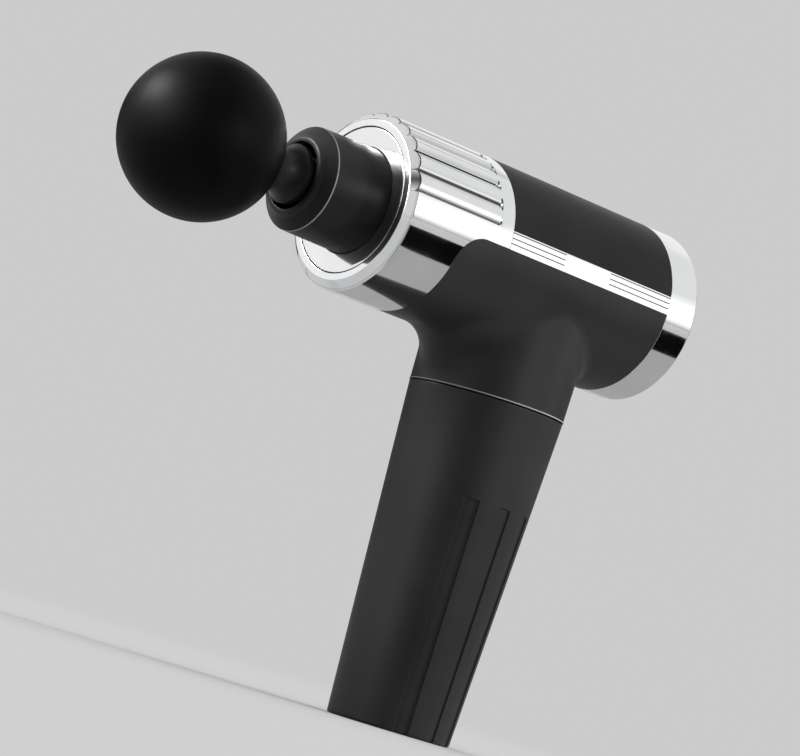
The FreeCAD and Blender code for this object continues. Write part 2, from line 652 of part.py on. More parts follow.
def flute(angle):
    """Tool for one sunk panel line down the handle's side."""
    radius_low = sheet.get("handle_base_r")
    slope = (sheet.get("handle_top_r") - radius_low) / sheet.get("handle_top")
    width = sheet.get("flute_width")
    length = sheet.get("flute_top") + 6
    depth = sheet.get("flute_depth")
    tool = Part.makeBox(width, 6, length, Vector(-width / 2, 0, -length))
    corners = [edge for edge in tool.Edges if edge.BoundBox.ZMin > -0.1
               and edge.BoundBox.XLength < 0.1 and edge.BoundBox.YLength > 1]
    tool = tool.makeFillet(0.7, corners)
    top = sheet.get("flute_top")
    reach = radius_low + slope * top - depth
    tool.Placement = Placement(Vector(0, reach, top), Rotation(Vector(1, 0, 0),
                                                               -math.degrees(math.atan(slope))))
    turned_tool = tool.copy()
    turned_tool.rotate(Vector(), Vector(0, 0, 1), angle)
    return turned_tool


def build_handle():
    shell = turned("handle", [
        ("base_hole_r", 0), ("handle_base_r", 0), ("handle_top_r", "handle_top"),
        ("handle_lip_r", "handle_top"), ("handle_lip_r", "handle_lip_bottom"),
        ("handle_inner_top_r", "handle_inner_top"),
        ("handle_inner_base_r", "handle_inner_base"), ("base_hole_r", "handle_inner_base")], "Z")
    tools = doc.addObject("Part::Feature", "flutes")
    step = sheet.get("flute_angle")
    tools.Shape = Part.makeCompound([flute(side + step * number)
                                     for side in (0, 180) for number in (-1, 0, 1)])
    node(cut(shell, [tools]), "handle_shell")


def build_battery():
    plate = turned("contact_plate", [
        (0, "plate_bottom"), ("plate_r", "plate_bottom"), ("plate_r", "plate_top"),
        (0, "plate_top")], "Z")
    node(plate, "contact_plate")
    cells = []
    holes = []
    for number in range(3):
        angle = math.radians(90 + 120 * number)
        at = Vector(sheet.get("cell_ring_r") * math.cos(angle),
                    sheet.get("cell_ring_r") * math.sin(angle), sheet.get("cell_bottom"))
        can = cylinder("cell_r", "cell_length - cell_nub_height")
        nub = cylinder("cell_nub_r", "cell_nub_height")
        can.Placement = Placement(at, Rotation())
        nub.Placement = Placement(at + Vector(0, 0, sheet.get("cell_length") - 1), Rotation())
        cells.append(fuse([can, nub]))
        hole = cylinder("cell_nub_r", "20")
        hole.Placement = Placement(at + Vector(0, 0, sheet.get("cell_length") - 10), Rotation())
        holes.append(hole)
    node(group(cells), "battery_cells")
    low = cylinder("holder_r", "holder_thickness", 0, 0, "cell_bottom - holder_thickness")
    node(low, "lower_cell_holder")
    high = cylinder("holder_top_r", "plate_bottom - cell_bottom - cell_length + cell_nub_height",
                    0, 0, "cell_bottom + cell_length - cell_nub_height")
    node(cut(high, holes), "upper_cell_holder")
    node(cylinder("charger_r", "board_thickness", 0, 0, "charger_bottom"), "charge_board")


def build_base():
    plate = turned("base", [
        (0, 0), ("base_r", 0), ("base_r", "base_rim_top"), ("base_rim_inner_r", "base_rim_top"),
        ("base_rim_inner_r", "base_thickness"), (0, "base_thickness")], "Z")
    jack = cylinder("jack_r", "10", "jack_x", 0, "- 1")
    switch = box("bezel_length", "bezel_width", "10",
                 "rocker_x - bezel_half_length", "- bezel_half_width", "- 1")
    recesses = [cylinder("screw_head_r + 0.3", "base_screw_recess + screw_head_height",
                         "base_screw_x", y) for y in ("base_screw_y", "- base_screw_y")]
    holes = [cylinder("screw_hole_r", "10", "base_screw_x", y, "- 1")
             for y in ("base_screw_y", "- base_screw_y")]
    node(cut(plate, [jack, switch] + recesses + holes), "handle_base")
    node(turned_jack(), "charging_jack")
    node(group(slotted_screws(
        [("base_screw_x", y) for y in ("base_screw_y", "- base_screw_y")],
        "base_screw_recess + screw_head_height", "base_screw_length", -1)), "base_screws")
    build_switch()


def turned_jack():
    barrel = turned("jack", [
        ("jack_hole_r", "jack_bottom"), ("jack_r", "jack_bottom"), ("jack_r", "jack_top"),
        (0, "jack_top"), (0, "jack_bottom + jack_depth"),
        ("jack_hole_r", "jack_bottom + jack_depth")], "Z")
    pin = cylinder("jack_pin_r", "jack_bottom + jack_depth - jack_pin_bottom",
                   "jack_x", 0, "jack_pin_bottom")
    return fuse([place(barrel, x="jack_x"), pin])


def build_switch():
    outer = box("bezel_length", "bezel_width", "bezel_top - bezel_bottom",
                "rocker_x - bezel_half_length", "- bezel_half_width", "bezel_bottom")
    inner = box("bezel_length - bezel_wall - bezel_wall", "bezel_width - bezel_wall - bezel_wall",
                "bezel_top - bezel_bottom - bezel_wall + 1",
                "rocker_x - bezel_half_length + bezel_wall", "bezel_wall - bezel_half_width",
                "bezel_bottom - 1")
    pivots = cylinder("pivot_hole_r", "bezel_width", "rocker_x", "- bezel_half_width",
                      "rocker_pivot_z", "Y")
    node(cut(outer, [inner, pivots]), "switch_bezel")
    body = prism_rocker()
    axle = cylinder("pivot_r", "bezel_width - 0.6", "rocker_x", "0.3 - bezel_half_width",
                    "rocker_pivot_z", "Y")
    node(fuse([body, axle]), "main_switch")


def prism_rocker():
    """Rocker with a shallow V below its pivot and a rounded back."""
    body = new_body("rocker")
    sketch = new_sketch(body, "XZ_Plane")
    draw_profile(sketch, [
        ("- rocker_half", "- rocker_tip"), (0, "- rocker_dip"), ("rocker_half", "- rocker_tip"),
        ("rocker_half - 1.2", "rocker_rise"), ("1.2 - rocker_half", "rocker_rise")])
    feature = body.newObject("PartDesign::Pad", "pad")
    feature.Profile = sketch
    feature.Midplane = True
    bind(feature, "Length", "rocker_width")
    body.Tip = feature
    return place(body, x="rocker_x", z="rocker_pivot_z")


# ---------------------------------------------------------------- ball head

def build_head():
    stem = turned("stem", [
        ("stem_core_end", 0), ("stem_core_end", "stem_core_r"),
        ("stem_core_front", "stem_core_r"), ("stem_core_front", "stem_ball_r"),
        ("stem_ball_x", "stem_ball_r", "- stem_waist_arc"), ("stem_waist_x", "stem_flange_r - 0.6"),
        ("stem_flange_front", "stem_flange_r"), ("stem_flange_back", "stem_flange_r"),
        ("stem_flange_back", "shank_r"), ("groove_front", "shank_r"),
        ("groove_front", "groove_r"), ("groove_back", "groove_r"), ("groove_back", "shank_r"),
        ("shank_end - shank_chamfer", "shank_r"), ("shank_end", "shank_r - shank_chamfer"),
        ("shank_end", 0)])
    node(stem, "head_stem")
    ball = doc.addObject("Part::Sphere", "ball")
    bind(ball, "Radius", "ball_r")
    place(ball, x="ball_centre", z="axis_height")
    core = turned("ball_core", [
        ("stem_core_end", 0), ("stem_core_end", "stem_core_r"),
        ("stem_core_front", "stem_core_r"), ("stem_core_front", "stem_ball_r"),
        ("- 105", "stem_ball_r"), ("- 105", 0)])
    node(cut(ball, [core]), "ball_head")
    o_ring = doc.addObject("Part::Torus", "o_ring")
    bind(o_ring, "Radius1", "o_ring_r")
    bind(o_ring, "Radius2", "o_ring_wire_r")
    o_ring.Placement = Placement(Vector(), Rotation(Vector(0, 1, 0), 90))
    node(place(o_ring, "o_ring_x", 0, "axis_height"), "head_o_ring")


# ---------------------------------------------------------------- build and write

def check_all():
    for obj in doc.Objects:
        if "Invalid" in obj.State or "Error" in obj.State:
            raise RuntimeError("%s: %s" % (obj.Label, obj.State))
    for obj in NODES:
        if obj.Shape.isNull() or not obj.Shape.isValid() or obj.Shape.Volume <= 0:
            raise RuntimeError("bad shape: " + obj.Label)


def write_all():
    os.makedirs("parts", exist_ok=True)
    for obj in NODES:
        obj.Shape.exportStep("parts/%s.step" % obj.Label)


fill_sheet()
build_nose_ring()
build_upper_cover()
build_side_strips()
build_lower_shell()
build_front()
build_plunger()
build_crank()
build_motor()
build_rear()
build_buttons()
build_control_board()
build_neck()
build_handle()
build_battery()
build_base()
build_head()
doc.recompute()
check_all()
write_all()
print("%d parts written" % len(NODES))
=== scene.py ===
import json
import math

import bmesh
import bpy
from mathutils import Matrix, Vector


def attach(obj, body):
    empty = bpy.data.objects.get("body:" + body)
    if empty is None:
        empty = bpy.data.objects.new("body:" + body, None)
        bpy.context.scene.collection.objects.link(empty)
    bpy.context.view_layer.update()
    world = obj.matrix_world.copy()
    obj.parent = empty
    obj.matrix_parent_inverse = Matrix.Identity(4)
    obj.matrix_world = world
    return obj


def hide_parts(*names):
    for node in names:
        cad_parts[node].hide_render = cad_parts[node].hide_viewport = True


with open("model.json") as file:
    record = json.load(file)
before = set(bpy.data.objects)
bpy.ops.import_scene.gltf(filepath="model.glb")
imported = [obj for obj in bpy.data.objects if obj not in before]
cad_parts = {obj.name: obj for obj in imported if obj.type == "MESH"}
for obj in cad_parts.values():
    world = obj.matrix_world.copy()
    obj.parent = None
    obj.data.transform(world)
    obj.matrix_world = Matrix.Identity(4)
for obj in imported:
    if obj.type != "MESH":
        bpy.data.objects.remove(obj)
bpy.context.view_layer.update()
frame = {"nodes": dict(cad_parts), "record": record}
NODES = frame["nodes"]


AXIS_UP = 151.5  # height of the barrel's axis in mm
AXIS_UP_M = AXIS_UP / 1000


# ------------------------------------------------------------------ materials

# Sockets of a Mix node that mixes colours.
MIX_FACTOR, MIX_FIRST, MIX_SECOND, MIX_RESULT = 0, 6, 7, 2


def new_material(name):
    mat = bpy.data.materials.new(name)
    mat.use_nodes = True
    tree = mat.node_tree
    return mat, tree, tree.nodes["Principled BSDF"]


def coordinates(tree):
    """Object coordinates in metres, which don't move with the camera."""
    return tree.nodes.new("ShaderNodeTexCoord").outputs["Object"]


def noise(tree, vector, scale, detail=2.0, rough=0.5):
    made = tree.nodes.new("ShaderNodeTexNoise")
    made.inputs["Scale"].default_value = scale
    made.inputs["Detail"].default_value = detail
    made.inputs["Roughness"].default_value = rough
    tree.links.new(vector, made.inputs["Vector"])
    return made.outputs["Fac"]


def spread(tree, value, low, high, start=0.3, end=0.7):
    made = tree.nodes.new("ShaderNodeMapRange")
    made.inputs["From Min"].default_value = start
    made.inputs["From Max"].default_value = end
    made.inputs["To Min"].default_value = low
    made.inputs["To Max"].default_value = high
    tree.links.new(value, made.inputs["Value"])
    return made.outputs["Result"]


def blend_colours(tree, factor, first, second):
    made = tree.nodes.new("ShaderNodeMix")
    made.data_type = "RGBA"
    made.inputs[MIX_FIRST].default_value = (*first, 1)
    made.inputs[MIX_SECOND].default_value = (*second, 1)
    tree.links.new(factor, made.inputs[MIX_FACTOR])
    return made.outputs[MIX_RESULT]


def bump(tree, height, strength, distance):
    made = tree.nodes.new("ShaderNodeBump")
    made.inputs["Strength"].default_value = strength
    made.inputs["Distance"].default_value = distance
    tree.links.new(height, made.inputs["Height"])
    return made.outputs["Normal"]


def edge_mask(tree):
    """1 along convex edges."""
    geometry = tree.nodes.new("ShaderNodeNewGeometry")
    return spread(tree, geometry.outputs["Pointiness"], 0, 1, 0.53, 0.62)


def worn(tree, rough, change):
    """Roughness less a change along the convex edges that hands rub: they polish
    plastic, and dull plated metal when the change is negative."""
    made = tree.nodes.new("ShaderNodeMath")
    made.operation = "MULTIPLY_ADD"
    tree.links.new(edge_mask(tree), made.inputs[0])
    made.inputs[1].default_value = -change
    tree.links.new(rough, made.inputs[2])
    return made.outputs[0]


PLASTIC_WEAR, METAL_WEAR = 0.06, -0.05


def soft_touch(name, dark, light, rough, spec, grain=9000, depth=0.00002):
    """Moulded plastic with a fine soft-touch grain."""
    mat, tree, shader = new_material(name)
    where = coordinates(tree)
    cloud = noise(tree, where, 38, 3)
    fine = noise(tree, where, grain, 2, 0.6)
    colour = blend_colours(tree, spread(tree, cloud, 0, 1), dark, light)
    tree.links.new(colour, shader.inputs["Base Color"])
    uneven = spread(tree, cloud, rough - 0.03, rough + 0.04)
    tree.links.new(worn(tree, uneven, PLASTIC_WEAR), shader.inputs["Roughness"])
    shader.inputs["Specular IOR Level"].default_value = spec
    tree.links.new(bump(tree, fine, 0.35, depth), shader.inputs["Normal"])
    return mat


def polished(name, dark, light, low, high, depth=0.000004):
    """Plated or turned metal: a fine grain and smudges in its gloss."""
    mat, tree, shader = new_material(name)
    shader.inputs["Metallic"].default_value = 1.0
    where = coordinates(tree)
    smudge = noise(tree, where, 60, 3)
    fine = noise(tree, where, 900, 2, 0.55)
    colour = blend_colours(tree, spread(tree, smudge, 0, 1), dark, light)
    tree.links.new(colour, shader.inputs["Base Color"])
    mixed = tree.nodes.new("ShaderNodeMath")
    mixed.operation = "MULTIPLY_ADD"
    tree.links.new(fine, mixed.inputs[0])
    mixed.inputs[1].default_value = 0.35
    tree.links.new(smudge, mixed.inputs[2])
    uneven = spread(tree, mixed.outputs[0], low, high, 0.45, 0.9)
    tree.links.new(worn(tree, uneven, METAL_WEAR), shader.inputs["Roughness"])
    tree.links.new(bump(tree, fine, 0.25, depth), shader.inputs["Normal"])
    return mat


def split_axes(tree, vector):
    split = tree.nodes.new("ShaderNodeSeparateXYZ")
    tree.links.new(vector, split.inputs[0])
    return split.outputs


def absolute(tree, value):
    made = tree.nodes.new("ShaderNodeMath")
    made.operation = "ABSOLUTE"
    tree.links.new(value, made.inputs[0])
    return made.outputs[0]


def line_mask(tree, axis, centre, half, soft):
    """1 where the coordinate along an axis lies within half of centre, in metres."""
    away = tree.nodes.new("ShaderNodeMath")
    away.operation = "SUBTRACT"
    away.inputs[1].default_value = centre
    tree.links.new(split_axes(tree, coordinates(tree))[axis], away.inputs[0])
    return spread(tree, absolute(tree, away.outputs[0]), 1, 0, half - soft, half + soft)


def groove_mask(tree, radius, soft):
    """1 closer than a radius to the barrel's axis, so in grooves and between ribs."""
    flat = tree.nodes.new("ShaderNodeMapping")
    flat.inputs["Location"].default_value = (0, 0, -AXIS_UP_M)
    flat.inputs["Scale"].default_value = (0, 1, 1)
    tree.links.new(coordinates(tree), flat.inputs["Vector"])
    length = tree.nodes.new("ShaderNodeVectorMath")
    length.operation = "LENGTH"
    tree.links.new(flat.outputs[0], length.inputs[0])
    return spread(tree, length.outputs["Value"], 1, 0, radius - soft, radius + soft)


def times(tree, first, second):
    made = tree.nodes.new("ShaderNodeMath")
    made.operation = "MULTIPLY"
    tree.links.new(first, made.inputs[0])
    tree.links.new(second, made.inputs[1])
    return made.outputs[0]


def paint_over(tree, shader, mask, colour):
    """Mix a colour over the base colour where the mask is 1."""
    over = tree.nodes.new("ShaderNodeMix")
    over.data_type = "RGBA"
    over.inputs[MIX_SECOND].default_value = (*colour, 1)
    tree.links.new(mask, over.inputs[MIX_FACTOR])
    tree.links.new(shader.inputs["Base Color"].links[0].from_socket, over.inputs[MIX_FIRST])
    tree.links.new(over.outputs[MIX_RESULT], shader.inputs["Base Color"])


# Each pair is the darker and the lighter end of a material's colour.
CHROME = (0.80, 0.81, 0.82), (0.88, 0.885, 0.89)
SHELL = (0.011, 0.011, 0.0113), (0.015, 0.015, 0.0153)
BUTTON = (0.030, 0.030, 0.031), (0.042, 0.042, 0.043)
RIBS_MIDDLE, RIBS_HALF = -0.05585, 0.01745  # along the barrel
SEAM_UP = 0.1084
BUTTON_MARKS = 0.0490  # where the engraved marks lie along the barrel


def ribbed_chrome():
    """Chrome with painted shade between the ribs: grey towards the hollows and a dark
    painted line along each hollow's floor.
    """
    mat = polished("ribbed_chrome", *CHROME, 0.05, 0.10)
    tree = mat.node_tree
    shader = tree.nodes["Principled BSDF"]
    ribs = line_mask(tree, "X", RIBS_MIDDLE, RIBS_HALF, 0.0001)
    painted_valley_shade = times(tree, ribs, groove_mask(tree, 0.02800, 0.00040))
    # Painted shade: grey towards the hollows between the ribs.
    paint_over(tree, shader, painted_valley_shade, (0.40, 0.40, 0.405))
    foot = times(tree, ribs, groove_mask(tree, 0.02748, 0.00008))
    # Painted shade: a dark line along the floor of each hollow between the ribs.
    paint_over(tree, shader, foot, (0.03, 0.03, 0.03))
    return mat


def strip_chrome():
    """Chrome that is dark and not metallic in its grooves."""
    mat = polished("strip_chrome", *CHROME, 0.06, 0.12)
    tree = mat.node_tree
    shader = tree.nodes["Principled BSDF"]
    in_groove = groove_mask(tree, 0.02846, 0.00002)
    paint_over(tree, shader, in_groove, (0.01, 0.01, 0.01))
    tree.links.new(spread(tree, in_groove, 1, 0, 0, 1), shader.inputs["Metallic"])
    return mat


def seam_black():
    """Black plastic with a thin bright line round its middle."""
    mat = soft_touch("seam_black", *SHELL, 0.42, 0.20)
    tree = mat.node_tree
    line = line_mask(tree, "Z", SEAM_UP, 0.00015, 0.00003)
    paint_over(tree, tree.nodes["Principled BSDF"], line, (0.24, 0.24, 0.245))
    return mat


def marked_button():
    """Button plastic with light paint in its engraved mark."""
    mat = soft_touch("marked_button", *BUTTON, 0.50, 0.4)
    tree = mat.node_tree
    facing = split_axes(tree, tree.nodes.new("ShaderNodeTexCoord").outputs["Normal"])
    outward = spread(tree, facing["X"], 0, 1, 0.8, 0.95)
    sunk = times(tree, outward, line_mask(tree, "X", BUTTON_MARKS, 0.00010, 0.00003))
    paint_over(tree, tree.nodes["Principled BSDF"], sunk, (0.46, 0.46, 0.465))
    return mat


MATERIALS = {
    "chrome": polished("chrome", *CHROME, 0.05, 0.10),
    "satin_metal": polished("satin_metal", (0.82, 0.82, 0.82), (0.85, 0.85, 0.85),
                            0.09, 0.12, 0.000001),
    "soft_black": soft_touch("soft_black", *SHELL, 0.42, 0.20),
    "sleeve_black": soft_touch("sleeve_black", (0.006, 0.006, 0.0063), (0.009, 0.009, 0.0093),
                               0.38, 0.15, 12000, 0.00001),
    "trim_grey": soft_touch("trim_grey", (0.007, 0.007, 0.0073), (0.011, 0.011, 0.0114),
                            0.42, 0.22, 12000, 0.00001),
    "rubber_black": soft_touch("rubber_black", (0.0008, 0.0008, 0.0009),
                               (0.0018, 0.0018, 0.0019), 0.46, 0.06, 7000, 0.00003),
    "gloss_black": soft_touch("gloss_black", (0.004, 0.004, 0.0045), (0.006, 0.006, 0.0065),
                              0.10, 0.5, 3000, 0.000002),
    "button_grey": soft_touch("button_grey", *BUTTON, 0.50, 0.4),
    "inner_plastic": soft_touch("inner_plastic", (0.02, 0.02, 0.021), (0.03, 0.03, 0.031),
                                0.5, 0.4),
    "board_green": soft_touch("board_green", (0.004, 0.05, 0.02), (0.006, 0.08, 0.03),
                              0.3, 0.5, 4000),
    "chip_black": soft_touch("chip_black", (0.01, 0.01, 0.01), (0.02, 0.02, 0.02), 0.5, 0.4),
    "cell_wrap": soft_touch("cell_wrap", (0.01, 0.06, 0.22), (0.015, 0.08, 0.28), 0.3, 0.5),
    "steel": polished("steel", (0.42, 0.43, 0.45), (0.52, 0.53, 0.55), 0.22, 0.38),
    "motor_steel": polished("motor_steel", (0.10, 0.10, 0.11), (0.16, 0.16, 0.17), 0.3, 0.45),
    "bronze": polished("bronze", (0.45, 0.28, 0.12), (0.58, 0.38, 0.18), 0.28, 0.42),
    "light_alloy": polished("light_alloy", (0.55, 0.56, 0.58), (0.66, 0.67, 0.69), 0.25, 0.4),
    "contact_gold": polished("contact_gold", (0.70, 0.50, 0.18), (0.85, 0.64, 0.28),
                             0.15, 0.28),
}

# Light grey for the rounding of the sleeve's front edge: a painted highlight.
SLEEVE_EDGE_HIGHLIGHT = soft_touch("sleeve_edge_painted_highlight", (0.16, 0.16, 0.16), (0.22, 0.22, 0.22),
                       0.28, 0.5, 12000, 0.000005)
COVER_BLACK = soft_touch("cover_black", (0.010, 0.010, 0.0103), (0.014, 0.014, 0.0143),
                         0.46, 0.05)
# Dark metal for the rounding of the nose ring's bevel above the ribs: a painted line of shade
# along the scallops.
RIB_SHADE_LINE = polished("rib_painted_shade_line", (0.05, 0.05, 0.05), (0.09, 0.09, 0.09), 0.20, 0.30)
MARKED = marked_button()
STRIP = strip_chrome()
FINISH = {"side_strip_left": STRIP, "side_strip_right": STRIP, "seam_ring": seam_black(),
          "upper_cover": COVER_BLACK, "power_button": MARKED, "speed_up_button": MARKED,
          "speed_down_button": MARKED}

SLOT_OF = {part["node"]: part["material_slot"] for part in frame["record"]["subparts"]}
for name, obj in NODES.items():
    for index in range(max(1, len(obj.material_slots))):
        if not obj.material_slots:
            obj.data.materials.append(None)
        obj.material_slots[index].material = FINISH.get(name) or MATERIALS[SLOT_OF[name]]


# ------------------------------------------------------------------ turned and ribbed skins

BARREL_R = 28.5
ROUNDING_STEPS = 4


def rounded(outline):
    """Points of a closed outline of (along, radius, rounding) in mm, and for each point
    the number of the corner it rounds, or -1."""
    points, marks = [], []
    count = len(outline)
    for index, (a, r, size) in enumerate(outline):
        if not size:
            points.append((a, r))
            marks.append(-1)
            continue
        here = Vector((a, r))
        before = Vector(outline[index - 1][:2]) - here
        after = Vector(outline[(index + 1) % count][:2]) - here
        reach = min(size, before.length * 0.45, after.length * 0.45)
        first = here + before.normalized() * reach
        last = here + after.normalized() * reach
        for step in range(ROUNDING_STEPS + 1):
            t = step / ROUNDING_STEPS
            point = first * (1 - t) ** 2 + here * 2 * t * (1 - t) + last * t * t
            points.append((point.x, point.y))
            marks.append(index)
    return points, marks


def ring_mesh(name, angles, profile, axis, materials, accent=None):
    """Closed ring: one closed profile for each angle, in degrees from +Y round the barrel
    (axis X) or from +X round the handle (axis Z). The rounding of the accent's corner
    takes the second material: on the sleeve a painted highlight, on the nose ring a
    painted line of shade."""
    vertices, faces, slots, marked = [], [], [], []
    size = 0
    for angle in angles:
        points, marks = profile(angle)
        marked.append(marks)
        size = len(points)
        c, s = math.cos(math.radians(angle)), math.sin(math.radians(angle))
        for a, r in points:
            if axis == "X":
                vertices.append((a / 1000, r * c / 1000, (AXIS_UP + r * s) / 1000))
            else:
                vertices.append((r * c / 1000, r * s / 1000, a / 1000))
    total = len(angles)
    for column in range(total):
        after = (column + 1) % total
        marks = marked[column]
        for row in range(size):
            up = (row + 1) % size
            face = (column * size + row, column * size + up, after * size + up,
                    after * size + row)
            faces.append(face)
            slots.append(1 if accent is not None and marks[row] == marks[up] == accent else 0)
    mesh = bpy.data.meshes.new(name)
    mesh.from_pydata(vertices, [], faces)
    for material in materials:
        mesh.materials.append(material)
    mesh.polygons.foreach_set("material_index", slots)
    mesh.polygons.foreach_set("use_smooth", [True] * len(faces))
    work = bmesh.new()
    work.from_mesh(mesh)
    bmesh.ops.recalc_face_normals(work, faces=work.faces)
    work.to_mesh(mesh)
    work.free()
    obj = bpy.data.objects.new(name, mesh)
    bpy.context.scene.collection.objects.link(obj)
    weighted = obj.modifiers.new("weighted", "WEIGHTED_NORMAL")
    weighted.mode = "FACE_AREA_WITH_ANGLE"
    weighted.weight = 60
    return obj


def even_angles(count):
    return [360 * number / count for number in range(count)]


def stands_for(obj, node, body):
    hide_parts(node)
    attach(obj, body)


def lathe(name, outline, slot_name, node, edge=None, accent=None):
    """Ring of one outline round the barrel's axis, in place of a node of the housing."""
    points = rounded(outline)
    # A second material, if given, goes on the accent corner's rounding; for the sleeve it is a
    # painted highlight.
    materials = [MATERIALS[slot_name]] + ([edge] if edge else [])
    obj = ring_mesh(name, even_angles(288), lambda angle: points, "X", materials, accent)
    stands_for(obj, node, "housing")


RIBS = 11
RIB_LOW, RIB_HIGH = 11.5, 168.5  # where the ribs begin and end, in degrees from +Y
RIB_STEP = (RIB_HIGH - RIB_LOW) / RIBS
RIB_CENTRE, RIB_ROUND = 22.5, 6.0  # radius of the ribs' centres and of the ribs
RIB_GROOVE, RIB_GROOVE_WIDE = 0.36, 0.62  # depth in mm, width in degrees
RIB_BLEND = 0.3  # degrees in which the ribs fade into the plain ring


def rib_radius(angle):
    """Outer radius where the ribs are: round ribs with a fine groove between them."""
    turn = math.degrees(math.atan2(math.sin(math.radians(angle)), math.cos(math.radians(angle))))
    if not RIB_LOW - RIB_BLEND < turn < RIB_HIGH + RIB_BLEND:
        return BARREL_R
    inside = min(max(turn, RIB_LOW), RIB_HIGH)
    off = (inside - RIB_LOW) % RIB_STEP - RIB_STEP / 2
    off_r = math.radians(off)
    r = RIB_CENTRE * math.cos(off_r)
    r += math.sqrt(RIB_ROUND ** 2 - (RIB_CENTRE * math.sin(off_r)) ** 2)
    r -= RIB_GROOVE * math.exp(-((RIB_STEP / 2 - abs(off)) / RIB_GROOVE_WIDE) ** 2)
    edge = min(abs(turn - RIB_LOW), abs(turn - RIB_HIGH)) if not (
        RIB_LOW < turn < RIB_HIGH) else 0
    return r + (BARREL_R - r) * min(1, edge / RIB_BLEND)


NOSE_FRONT, NOSE_BACK_TOP, NOSE_BACK_LOW = -75.1, -32.84, -51.44
NOSE_CORNER = 9.5  # radius of the corner below the mid-plane
NOSE_CORNER_X = NOSE_BACK_LOW + NOSE_CORNER
RIM_INNER, RIM_OUTER, BEVEL_LONG = 23.6, 25.9, 2.3
RIB_FOOT = -38.55  # where the ribs end at the rear
NOSE_WALL_R, NOSE_WALL_FRONT = 26.24, -71.9  # inside of the ring, clear of the parts within


def ring_end(angle):
    """Where the nose ring ends: straight above the mid-plane, round a corner below it."""
    up = BARREL_R * math.sin(math.radians(angle))
    if up >= 0:
        return NOSE_BACK_TOP
    if up > -NOSE_CORNER:
        return NOSE_CORNER_X - math.sqrt(NOSE_CORNER ** 2 - (up + NOSE_CORNER) ** 2)
    return NOSE_BACK_LOW


def nose_profile(angle):
    end = ring_end(angle)
    r = rib_radius(angle)
    ribbed = r < BARREL_R - 0.001
    bevel_x = NOSE_FRONT + (r - RIM_OUTER) * BEVEL_LONG / (BARREL_R - RIM_OUTER)
    outline = [(NOSE_FRONT, RIM_INNER, 0.22), (NOSE_FRONT, RIM_OUTER, 0.35),
               (bevel_x, r, 0.22)]
    if end > RIB_FOOT:
        outline += [(RIB_FOOT - 0.1, r, 0.1),
                    (RIB_FOOT + (0.45 if ribbed else 0.02), BARREL_R, 0.15)]
    else:
        # Below the mid-plane there are no ribs; two points keep every profile's count.
        outline += [(-60.0, r, 0.05), (-59.9, BARREL_R, 0.05)]
    outline += [(end, BARREL_R, 0.16), (end, NOSE_WALL_R, 0),
                (NOSE_WALL_FRONT, NOSE_WALL_R, 0), (NOSE_WALL_FRONT, RIM_INNER, 0)]
    points, marks = rounded(outline)
    return points, marks if ribbed else [-1] * len(marks)


BELOW_MIDDLE = (180.001, 359.999)  # just below the mid-plane, where the ring's end steps


def nose_angles():
    """Even angles, and more at the ribs' grooves and round the corner."""
    angles = set()
    for number in range(720):
        angles.add(round(number * 0.5, 4))
    for number in range(RIBS + 1):
        centre = RIB_LOW + RIB_STEP * number
        for off in (0, 0.15, 0.3, 0.45, 0.6, 0.75, 0.95, 1.25):
            angles.update((round(centre - off, 4), round(centre + off, 4)))
    for off in (-0.32, -0.3, -0.2, -0.1, -0.02, 0.02):
        angles.update((round(RIB_LOW + off, 4), round(RIB_HIGH - off, 4)))
    for step in range(1, 18):
        up = -NOSE_CORNER * (1 - math.cos(math.radians(5 * step)))
        drop = math.degrees(math.asin(up / BARREL_R))
        angles.update((round(360 + drop, 4), round(180 - drop, 4)))
    angles.update(BELOW_MIDDLE)
    kept = []
    for angle in sorted(angles):
        if not kept or angle - kept[-1] > 0.015 or angle in BELOW_MIDDLE:
            kept.append(angle)
    return kept


BEVEL_CORNER = 2  # number of the bevel's outer corner in nose_profile; above the ribs its rounding takes the painted shade line


def build_nose():
    obj = ring_mesh("nose_ring_skin", nose_angles(), nose_profile, "X",
                    [ribbed_chrome(), RIB_SHADE_LINE], BEVEL_CORNER)
    stands_for(obj, "nose_ring", "housing")


HANDLE_TOP, HANDLE_TOP_R, HANDLE_BASE_R = 107.8, 25.25, 20.0
FLUTE_TOP, FLUTE_HALF, FLUTE_DEEP, FLUTE_ROUND = 76.0, 2.35, 0.6, 0.7
FLUTE_REACH, FLUTE_WALL = 4, 0.11  # mm to each side that a flute and its wall may touch
FLUTES = [side + step for side in (-90, 90) for step in (-29, 0, 29)]


def flute_cut(angle, up, r):
    """Depth of the flutes below the handle's plain surface."""
    deepest = 0.0
    for centre in FLUTES:
        off = math.radians((angle - centre + 180) % 360 - 180) * r
        if abs(off) > FLUTE_REACH:
            continue
        over_x = abs(off) - FLUTE_HALF + FLUTE_ROUND
        over_z = up - FLUTE_TOP + FLUTE_ROUND
        gap = math.hypot(max(over_x, 0), max(over_z, 0)) + min(max(over_x, over_z), 0)
        gap -= FLUTE_ROUND
        t = min(max((FLUTE_WALL - gap) / (2 * FLUTE_WALL), 0), 1)
        deepest = max(deepest, FLUTE_DEEP * t * t * (3 - 2 * t))
    return deepest


# Heights of the handle's rows: even ones, then close ones round the flutes' top ends.
HANDLE_ROWS = [0.9 + 4.6 * number for number in range(16)]
HANDLE_ROWS += [74.6, 75.1, 75.4, 75.6, 75.75, 75.85, 75.93, 76.0, 76.07, 76.15, 76.3, 77.0]
HANDLE_ROWS += [82.0, 90.0, 98.0, 106.6]


